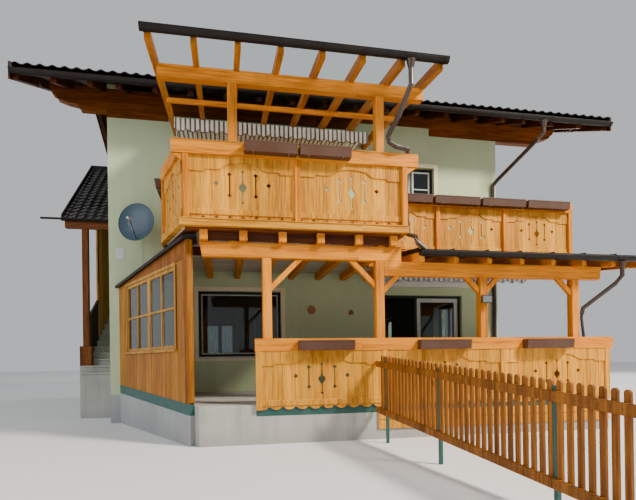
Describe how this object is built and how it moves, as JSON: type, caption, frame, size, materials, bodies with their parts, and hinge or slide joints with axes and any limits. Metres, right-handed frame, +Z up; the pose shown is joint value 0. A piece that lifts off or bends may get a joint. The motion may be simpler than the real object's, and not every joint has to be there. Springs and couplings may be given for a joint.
{
  "type": "alpine chalet",
  "caption": "Two-storey alpine house with carved timber balconies, a glazed canopy over a bay, an open porch, an outside stair and a picket fence.",
  "frame": {"origin": "middle of the house block's footprint, on the underside of its foundation at the lowest ground", "axes": "+X along the front wall to the right seen from the front, +Y from the front into the house, +Z up"},
  "size_m": [12.59, 19.9206, 9.4508],
  "materials": {
    "stucco": "pale sage-green scraped render",
    "plinth_render": "grey painted plinth render",
    "concrete": "weathered concrete and stone",
    "floor_boards": "sanded floor boards",
    "trim_band": "cream painted render",
    "frame_dark": "dark green-grey paint",
    "glass": "clear float glass",
    "door_brown": "brown stained boards",
    "leaf_white": "off-white frame",
    "timber_red": "red-brown stained spruce",
    "roof_tile": "dark brown concrete tile",
    "metal_brown": "dark brown coated sheet",
    "timber_honey": "honey-coloured glazed spruce",
    "timber_larch": "pale golden larch",
    "ceiling_white": "off-white painted boards",
    "paint_green": "dark green paint",
    "casement_light": "light lacquered wood",
    "timber_dark": "dark brown stained boards",
    "dish_slate": "slate-blue coated steel",
    "awning_metal": "white coated aluminium",
    "awning_cloth": "striped acrylic cloth",
    "box_brown": "brown troughs with soil",
    "fitting_grey": "plain coated fittings"
  },
  "bodies": {
    "house": {"foundation": "plinth_render", "front_wall_left": "stucco", "front_wall_right": "stucco", "front_wall_over_door": "stucco", "left_wall": "stucco", "right_wall": "stucco", "back_wall": "stucco", "upper_floor": "floor_boards", "window_surrounds": "trim_band", "window_frames": "frame_dark", "ground_glass": "glass", "upper_glass": "glass", "upper_doors": "door_brown", "terrace_door_frame": "frame_dark", "terrace_door_fixed_leaf": "leaf_white", "purlins": "timber_red", "rafters": "timber_red", "roof_front_slope": "roof_tile", "roof_back_slope": "roof_tile", "barge_boards": "timber_red", "ridge_cap": "roof_tile", "gutters": "metal_brown", "downpipes": "metal_brown", "canopy_beams": "timber_honey", "canopy_posts": "timber_honey", "canopy_rafters": "timber_honey", "canopy_glass": "glass", "balcony_deck": "timber_larch", "balcony_joists": "timber_honey", "balcony_newels": "timber_honey", "bay_panels": "timber_larch", "right_balcony_panels": "timber_larch", "balcony_rail": "timber_honey", "porch_posts": "timber_honey", "porch_beam_left": "timber_honey", "porch_beam_right": "timber_honey", "knee_braces": "timber_honey", "porch_ceiling": "ceiling_white", "lower_rafters": "timber_honey", "lower_roof": "metal_brown", "terrace_base": "concrete", "terrace_panels": "timber_larch", "terrace_rail": "timber_honey", "screen_plinth": "paint_green", "screen_wall": "timber_honey", "screen_windows": "casement_light", "screen_roof": "metal_brown", "stair_steps": "concrete", "stair_side": "timber_dark", "stair_roof": "roof_tile", "satellite_dish": "dish_slate", "awning_frames": "awning_metal", "awning_cloths": "awning_cloth", "flower_boxes": "box_brown", "wall_fittings": "fitting_grey", "fence_posts": "paint_green", "fence_panels": "timber_honey"},
    "door_leaf": {"terrace_door_leaf": "leaf_white", "terrace_door_pane": "glass"}
  },
  "joints": [
    {"name": "terrace_door_hinge", "type": "hinge", "parent": "house", "child": "door_leaf", "pos_m": [1.412, -4.608, 1.6], "axis": [0, 0, 1], "range_deg": [-90, 0]}
  ]
}
